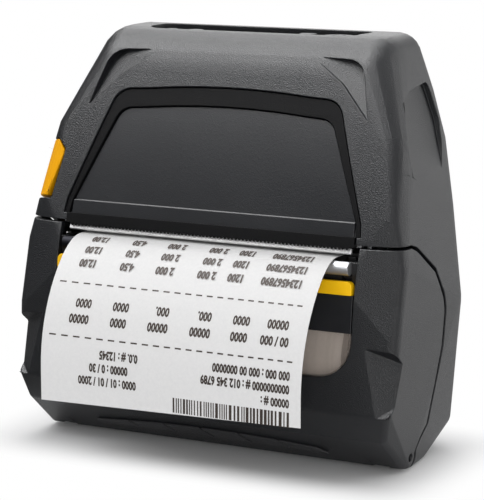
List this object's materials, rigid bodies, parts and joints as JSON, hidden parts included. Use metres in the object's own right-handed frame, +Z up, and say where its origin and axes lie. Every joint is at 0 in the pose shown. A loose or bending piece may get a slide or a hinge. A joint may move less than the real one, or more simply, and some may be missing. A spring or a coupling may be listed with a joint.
{
  "type": "portable label printer",
  "caption": "Portable direct thermal printer standing on its lower edge, with a hinged media door, roll, platen, print head, control panel and a printed slip.",
  "frame": {"origin": "on the surface that the printer stands on, under the middle of its body", "axes": "+X to the right as seen from the front, +Y to the back, +Z up; the hinges of the door, platen and roll run along X"},
  "size_m": [0.16, 0.0908, 0.157],
  "materials": {
    "case_plastic": "textured charcoal",
    "back_plastic": "fine grain",
    "dark_plastic": "smooth satin",
    "plate_plastic": "satin film",
    "label_film": "satin film",
    "yellow_plastic": "smooth satin",
    "clear_smoke": "clear smoked plastic",
    "display_glass": "tinted clear plastic",
    "display_panel": "reflective display",
    "bright_steel": "bright",
    "sheet_steel": "zinc plated",
    "sink_aluminium": "as extruded",
    "bearing_brass": "plain",
    "contact_brass": "plated",
    "roller_rubber": "ground",
    "soft_rubber": "matt",
    "gear_plastic": "natural",
    "head_ceramic": "glazed strip",
    "board": "solder mask",
    "core_card": "plain",
    "media_paper": "thermal paper",
    "key_plastic": "satin",
    "pack_plastic": "fine grain"
  },
  "bodies": {
    "printer": {"front_case": "case_plastic", "rear_case": "back_plastic", "bezel": "dark_plastic", "name_plate": "plate_plastic", "tear_bar": "dark_plastic", "exit_strip": "bright_steel", "mech_frame": "sheet_steel", "head_springs": "sheet_steel", "motor": "sheet_steel", "motor_plate": "sheet_steel", "idler_post": "bright_steel", "latch_pin": "bright_steel", "hinge_pin": "bright_steel", "media_bay": "dark_plastic", "disc_rail": "bright_steel", "control_panel": "dark_plastic", "lcd_lens": "display_glass", "lcd_module": "display_panel", "keypad_board": "board", "main_board": "board", "battery_contacts": "contact_brass", "port_sockets": "board", "dock_contacts": "contact_brass", "case_screws": "bright_steel", "rubber_feet": "soft_rubber"},
    "head": {"heat_sink": "sink_aluminium", "printhead": "head_ceramic"},
    "door": {"door_shell": "case_plastic", "door_frame": "dark_plastic", "door_window": "clear_smoke", "door_label": "label_film", "yellow_strip": "yellow_plastic", "peel_bar": "bright_steel", "bearing_left": "bearing_brass", "bearing_right": "bearing_brass", "door_pads": "soft_rubber", "paper_strip": "media_paper", "media_sensor": "board"},
    "platen": {"platen_rubber": "roller_rubber", "platen_shaft": "bright_steel", "platen_gear": "gear_plastic"},
    "idler": {"idler_gear": "gear_plastic"},
    "pinion": {"motor_pinion": "bearing_brass"},
    "latch_hooks": {"latch_shaft": "bright_steel", "hook_left": "sheet_steel", "hook_right": "sheet_steel"},
    "lever": {"latch_lever": "yellow_plastic"},
    "roll": {"paper_roll": "media_paper", "roll_core": "core_card"},
    "disc_l": {"disc_left": "dark_plastic"},
    "disc_r": {"disc_right": "dark_plastic"},
    "battery": {"battery_pack": "pack_plastic"},
    "battery_catch": {"battery_latch": "key_plastic"},
    "power_button": {"power_key": "key_plastic"},
    "feed_button": {"feed_key": "key_plastic"},
    "soft_front": {"soft_key_front": "key_plastic"},
    "soft_back": {"soft_key_back": "key_plastic"},
    "nav_button": {"nav_key": "key_plastic"},
    "select_button": {"select_key": "key_plastic"},
    "flap": {"port_flap": "dark_plastic"}
  },
  "joints": [
    {"name": "door_swing", "type": "hinge", "parent": "printer", "child": "door", "pos_m": [0, -0.0095, 0.0052], "axis": [1, 0, 0], "range_deg": [0, 85]},
    {"name": "platen_spin", "type": "hinge", "parent": "door", "child": "platen", "pos_m": [0, -0.017, 0.074], "axis": [1, 0, 0], "continuous": true},
    {"name": "idler_spin", "type": "hinge", "parent": "printer", "child": "idler", "pos_m": [0.058, -0.00257, 0.07557], "axis": [1, 0, 0], "continuous": true},
    {"name": "motor_spin", "type": "hinge", "parent": "printer", "child": "pinion", "pos_m": [0.056, 0.00585, 0.08429], "axis": [1, 0, 0], "continuous": true},
    {"name": "head_tilt", "type": "hinge", "parent": "printer", "child": "head", "pos_m": [0, -0.0095, 0.0852], "axis": [-1, 0, 0], "range_deg": [0, 2], "stiffness_Nm_per_rad": 0.6, "springref_deg": -1.72},
    {"name": "latch_turn", "type": "hinge", "parent": "printer", "child": "latch_hooks", "pos_m": [0, -0.006, 0.09], "axis": [-1, 0, 0], "range_deg": [0, 12], "stiffness_Nm_per_rad": 0.08, "springref_deg": -3.44},
    {"name": "lever_press", "type": "hinge", "parent": "printer", "child": "lever", "pos_m": [-0.0646, -0.00963, 0.10753], "axis": [0, -0.9426, 0.3338], "range_deg": [0, 3.6]},
    {"name": "roll_spin", "type": "hinge", "parent": "printer", "child": "roll", "pos_m": [0, 0.003, 0.04], "axis": [1, 0, 0], "continuous": true},
    {"name": "disc_right_slide", "type": "slide", "parent": "printer", "child": "disc_r", "axis": [1, 0, 0], "range_m": [0, 0.0028], "stiffness_N_per_m": 400, "springref_m": -0.001},
    {"name": "disc_left_slide", "type": "slide", "parent": "printer", "child": "disc_l", "axis": [-1, 0, 0], "range_m": [0, 0.0028]},
    {"name": "battery_slide", "type": "slide", "parent": "printer", "child": "battery", "axis": [0, 1, 0], "range_m": [0, 0.03]},
    {"name": "catch_slide", "type": "slide", "parent": "battery", "child": "battery_catch", "axis": [0, 0, -1], "range_m": [0, 0.002], "stiffness_N_per_m": 600, "springref_m": -0.0003},
    {"name": "power_press", "type": "slide", "parent": "printer", "child": "power_button", "axis": [0, 0, -1], "range_m": [0, 0.0008], "stiffness_N_per_m": 1200, "springref_m": -0.0002},
    {"name": "feed_press", "type": "slide", "parent": "printer", "child": "feed_button", "axis": [0, 0, -1], "range_m": [0, 0.0008], "stiffness_N_per_m": 1200, "springref_m": -0.0002},
    {"name": "soft_front_press", "type": "slide", "parent": "printer", "child": "soft_front", "axis": [0, 0, -1], "range_m": [0, 0.0008], "stiffness_N_per_m": 1200, "springref_m": -0.0002},
    {"name": "soft_back_press", "type": "slide", "parent": "printer", "child": "soft_back", "axis": [0, 0, -1], "range_m": [0, 0.0008], "stiffness_N_per_m": 1200, "springref_m": -0.0002},
    {"name": "nav_press", "type": "slide", "parent": "printer", "child": "nav_button", "axis": [0, 0, -1], "range_m": [0, 0.0008], "stiffness_N_per_m": 1200, "springref_m": -0.0002},
    {"name": "select_press", "type": "slide", "parent": "printer", "child": "select_button", "axis": [0, 0, -1], "range_m": [0, 0.0008], "stiffness_N_per_m": 1200, "springref_m": -0.0002},
    {"name": "flap_swing", "type": "hinge", "parent": "printer", "child": "flap", "pos_m": [-0.033, 0.0362, 0.0136], "axis": [-1, 0, 0], "range_deg": [0, 95]}
  ],
  "couplings": [
    {"joint": "idler_spin", "follows": "platen_spin", "ratio": -0.8},
    {"joint": "motor_spin", "follows": "platen_spin", "ratio": 1.6},
    {"joint": "lever_press", "follows": "latch_turn", "ratio": 0.3},
    {"joint": "disc_left_slide", "follows": "disc_right_slide", "ratio": 1}
  ]
}
